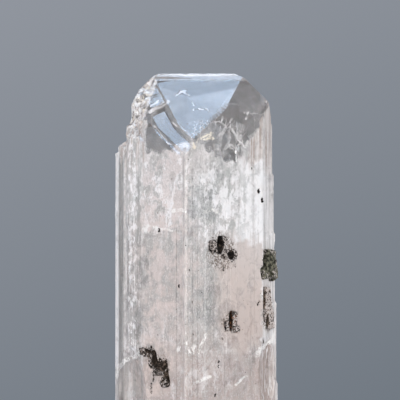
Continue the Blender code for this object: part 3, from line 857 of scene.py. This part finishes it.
relief = fine_streaks * (grooved * 0.7 + 0.3) + specks * 0.5 + shard_tilt * shard_edge.ramp(0.0, 0.12) * 0.6
glass_skin = {
    "Base Color": GLASS_WHITE,
    "Roughness": bent_z.ramp(78.0, 84.0) * front * 0.14 + 0.02,
    "IOR": IOR,
    "Transmission Weight": 1.0,
    "Normal": rock.bump(CLEAR_STRENGTH, CLEAR_DEPTH, fine_clouds),
}
milk_skin = {
    "Base Color": body,
    "Roughness": specks * 0.2 + 0.08,
    "IOR": IOR,
    "Transmission Weight": 0.2,
    "Subsurface Weight": 0.3,
    "Subsurface Radius": (1.0, 0.9, 0.85),
    "Subsurface Scale": MILK_REACH,
    "Normal": rock.bump(RELIEF_STRENGTH, RELIEF_DEPTH, relief),
}
milk, glass = [rock.node("ShaderNodeBsdfPrincipled", None, skin) for skin in (milk_skin, glass_skin)]
both = rock.node("ShaderNodeMixShader", None, {0: clear, 1: milk, 2: glass})
inside = rock.node("ShaderNodeVolumeAbsorption", None, {"Color": WARM_GLASS, "Density": ABSORPTION})
rock.node("ShaderNodeOutputMaterial", None, {"Surface": both, "Volume": inside})
crystal.data.materials.append(danburite)
print("danburite nodes", len(danburite.node_tree.nodes))

# %% [markdown]
# The dark mineral is brown-black to olive, dull, and broken up by bare crystal except at its heart. Each
# patch has its own two colours, and ovals of the picture say where it is solid. Crumbs of noise eat the
# rest away.

# %% Finishes of the dark mineral
BARE = (0.50, 0.45, 0.42)
BLACK = (0.005, 0.0035, 0.003)
SOOT = (0.075, 0.055, 0.04)
MOTTLE = {"scale": 1.4, "detail": 4, "roughness": 0.6}
CRUMBS = {"scale": 2.1, "detail": 5, "roughness": 0.78}
CRUMB_SHIFT = (7.0, 0.0, 3.0)
RAGGED = 1.6
OVAL_EDGE = (2.3, 1.7)
BARE_SOFT = 0.04


def dark_finish(name, deep, light, share, main=(), bare=0.5):
    """A dark crust. Outside the main ovals of the picture it is broken up by bare crystal, by this much."""
    material, mineral = finish(name)
    spot = mineral.place()
    mottle = mineral.grain(spot, **MOTTLE)
    tone = mineral.blend(mottle.ramp(*share), deep, light)
    if main:
        crumbs = mineral.grain(mineral.vector("ADD", spot, CRUMB_SHIFT), **CRUMBS)
        across, _, up = mineral.split(spot)
        ovals = []
        for column, row, half_width, half_height in main:
            centre = on_surface(column, row)[0] / MM
            side, rise = (across - centre.x) * (1 / half_width), (up - centre.z) * (1 / half_height)
            ovals.append((side * side + rise * rise + crumbs * RAGGED).ramp(*OVAL_EDGE))
        shown = crumbs.ramp(bare + BARE_SOFT, bare - BARE_SOFT) * (1 - any_of(ovals))
        tone = mineral.blend(shown, tone, BARE)
    skin = {
        "Base Color": tone,
        "Roughness": mottle * 0.4 + 0.3,
        "Specular IOR Level": 0.06,
        "Normal": mineral.bump(0.5, 0.1, mottle),
    }
    shine = mineral.node("ShaderNodeBsdfPrincipled", None, skin)
    mineral.node("ShaderNodeOutputMaterial", None, {"Surface": shine})
    print(name, len(material.node_tree.nodes), "nodes")
    return material


heart = [(220, 244, 0.62, 1.9), (231, 254.5, 0.65, 0.9)]
upper = dark_finish("black_grains", BLACK, SOOT, (0.52, 0.7), heart, 0.485)
black = dark_finish("black_specks", BLACK, SOOT, (0.52, 0.7))
heart = [(161, 363, 1.4, 1.2), (150, 350, 1.0, 0.6), (154.5, 358, 0.45, 1.6), (168, 374, 0.4, 1.2)]
umber = dark_finish("umber_grains", (0.014, 0.010, 0.007), (0.12, 0.09, 0.07), (0.47, 0.64), heart, 0.45)
heart = [(268, 262, 1.4, 1.9)]
olive = dark_finish("olive_grains", (0.025, 0.025, 0.018), (0.15, 0.145, 0.105), (0.42, 0.6), heart, 0.44)
heart = [(263.5, 299, 0.35, 2.0), (267, 320, 0.3, 1.4)]
brown = dark_finish("brown_grains", (0.014, 0.009, 0.006), (0.16, 0.12, 0.09), (0.46, 0.60), heart, 0.525)
heart = [(230.5, 319, 0.4, 2.2)]
rusty = dark_finish("rusty_grains", (0.010, 0.006, 0.004), (0.17, 0.07, 0.025), (0.53, 0.66), heart, 0.495)

# %% [markdown]
# A grain is a cube with its corners moved, stretched, turned and half sunk in the crystal, so that it sits
# in the stone wherever it is seen from. Grains are strewn through ovals, closer together towards the
# middle, and small ones are commoner than large ones. The draws are seeded, so each run strews the same
# grains.

# %% One grain, and how grains are strewn
SINK = 0.35
CORNER_SHIFT = 0.2
STRETCH = (0.6, 1.3)
SMALLEST = 0.25
SMALL_ONES = 1.5
CROWDING = 0.7


def add_grain(crust, column, row, size, pick):
    """One blocky grain, its size in millimetres, half sunk in the crystal behind a point of the picture."""
    point, outward = on_surface(column, row)
    corners = bmesh.ops.create_cube(crust, size=1.0)["verts"]
    for corner in corners:
        corner.co += Vector([pick.uniform(-CORNER_SHIFT, CORNER_SHIFT) for _ in range(3)])
    shape = Vector([size * pick.uniform(*STRETCH) for _ in range(3)]) * MM
    bmesh.ops.scale(crust, verts=corners, vec=shape)
    spin = Matrix.Rotation(pick.uniform(0, math.tau), 3, Vector([pick.uniform(-1, 1) for _ in range(3)]))
    bmesh.ops.rotate(crust, verts=corners, matrix=spin)
    bmesh.ops.translate(crust, verts=corners, vec=point - outward * size * SINK * MM)


def scatter(crust, spots, pick):
    """Strews grains through ovals of the picture, each with place, half sizes, number and largest size."""
    for column, row, half_width, half_height, count, largest in spots:
        for _ in range(count):
            turn, reach = pick.uniform(0, math.tau), pick.random() ** CROWDING
            size = largest * pick.uniform(SMALLEST, 1.0) ** SMALL_ONES
            across = column + math.cos(turn) * half_width * reach
            down = row + math.sin(turn) * half_height * reach
            add_grain(crust, across, down, size, pick)


# %% [markdown]
# Each patch keeps the block that the solids give it, roughened and grown sideways to fill its seat, and
# smaller grains are strewn over it and round its edge. A patch of grains alone would leave the seat open
# under it.

# %% Crusts of dark mineral
FILL = 0.27 * MM
LONG_EDGE = 0.5 * MM
EDGE_CUTS = 4
CRUMB_DEPTH = 0.28
CRUMB_SCALE = 1.3
FIRST_SEED = 7
PATCHES = {
    # node: finish, then column, row, half width, half height, number and largest size of the grains round it
    "dark_grain_upper": (upper, (
        (220.5, 244, 2.0, 7, 16, 1.1),
        (231, 254.5, 2.2, 3.2, 10, 1.0),
        (212, 243, 3.5, 6, 26, 0.5),
        (223, 259, 11, 9, 60, 0.32),
        (222, 248, 9, 12, 50, 0.3),
        (232, 262, 5, 8, 30, 0.3),
    )),
    "dark_grain_right_edge": (olive, (
        (268, 260, 5, 6, 26, 0.9),
        (264, 269, 3, 5, 18, 0.8),
        (271, 272, 2.2, 8, 18, 0.7),
        (268, 266, 7, 12, 50, 0.35),
    )),
    "dark_grain_right_low": (brown, (
        (265, 303, 1.4, 9, 22, 0.6),
        (266, 317, 2.2, 9, 26, 0.6),
        (269, 326, 2.0, 5, 14, 0.5),
        (267, 310, 4.5, 19, 90, 0.3),
        (259, 302, 1.0, 3, 3, 0.5),
    )),
    "dark_grain_centre_low": (rusty, (
        (230, 318, 2.2, 7, 24, 0.6),
        (232, 327, 3, 4, 14, 0.5),
        (228, 322, 6, 8, 70, 0.26),
        (222, 339, 1.6, 1.8, 9, 0.7),
        (225, 332, 4, 5, 16, 0.2),
    )),
    "dark_grain_left_low": (umber, (
        (162, 363, 6, 4.6, 40, 0.8),
        (149.5, 349, 5, 2.4, 26, 0.6),
        (154.5, 355, 1.6, 5, 18, 0.6),
        (168.5, 374, 1.4, 6, 16, 0.5),
        (167, 380, 2.6, 1.6, 8, 0.4),
        (153.5, 371, 0.7, 12, 44, 0.5),
        (151.5, 388, 0.9, 6, 18, 0.5),
        (152, 362, 2.4, 6, 26, 0.5),
    )),
}


def roughen(crust):
    """Breaks the flat sides of the blocks up into a crumbly skin, grown sideways until it fills its seat."""
    crust.normal_update()
    for vert in crust.verts:
        vert.co += Vector((vert.normal.x, max(0.0, vert.normal.y), vert.normal.z)) * FILL
    long_edges = [edge for edge in crust.edges if edge.calc_length() > LONG_EDGE]
    bmesh.ops.subdivide_edges(crust, edges=long_edges, cuts=EDGE_CUTS, use_grid_fill=True)
    bmesh.ops.triangulate(crust, faces=crust.faces[:])
    for vert in crust.verts:
        vert.co += noise.noise_vector(vert.co * CRUMB_SCALE / MM) * CRUMB_DEPTH * MM


for seed, (node, (coat, spots)) in enumerate(PATCHES.items(), FIRST_SEED):
    crust = merged_copy(node)
    roughen(crust)
    scatter(crust, spots, random.Random(seed))
    keep_inside(crust)
    bmesh.ops.recalc_face_normals(crust, faces=crust.faces[:])
    piece = add_piece(node.replace("dark_grain", "dark_crust"), crust)
    piece.data.materials.append(coat)
    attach(piece, "root")
    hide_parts(node)
    print(piece.name, len(piece.data.polygons), "faces")

# %% [markdown]
# Single specks of the same dark mineral dot the faces. They are too small for the solids, so they are added
# here, each as a short row of grains where the photograph shows it.

# %% Dark specks
SPECK_SEED = 23
SPECK_STEP = 1.1
SPECK_SWAY = 0.4
SPECKS = (
    # column, row, size in millimetres, number
    (159, 231, 0.5, 3), (179, 287, 0.55, 3), (189.5, 271, 0.3, 2), (201, 293, 0.35, 2),
    (258.5, 192, 0.5, 3), (262, 201, 0.5, 3), (223.5, 270, 0.3, 4), (192, 303, 0.25, 2),
    (218.6, 362, 0.35, 3), (218.4, 367, 0.3, 3), (215, 396, 0.45, 3), (258, 304, 0.4, 3),
    (263.5, 342, 0.4, 3), (158, 336, 0.3, 2), (193, 335, 0.3, 2), (204, 184, 0.25, 1),
    (252, 169, 0.3, 2), (199, 318, 0.2, 1), (245, 373, 0.25, 1), (188, 160, 0.2, 1),
    (240, 330, 0.22, 2), (244, 323, 0.18, 1), (186, 246, 0.2, 1),
)

pick = random.Random(SPECK_SEED)
dots = bmesh.new()
for column, row, size, count in SPECKS:
    for step in range(count):
        across = column + pick.uniform(-SPECK_SWAY, SPECK_SWAY)
        add_grain(dots, across, row + (step - count / 2) * SPECK_STEP, size, pick)
keep_inside(dots)
bmesh.ops.recalc_face_normals(dots, faces=dots.faces[:])
speck_piece = add_piece("dark_specks", dots)
speck_piece.data.materials.append(black)
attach(speck_piece, "root")
print(speck_piece.name, len(speck_piece.data.polygons), "faces")

# %% [markdown]
# Light crosses many faces on its way through a clear tip, so it is given more bounces than usual. The
# visual model has to stay inside the box of the solids.

# %% View and bounces
bpy.context.scene.view_settings.view_transform = "Standard"
bpy.context.scene.cycles.transparent_max_bounces = 32
bpy.context.scene.cycles.max_bounces = 20
bpy.context.scene.cycles.transmission_bounces = 16
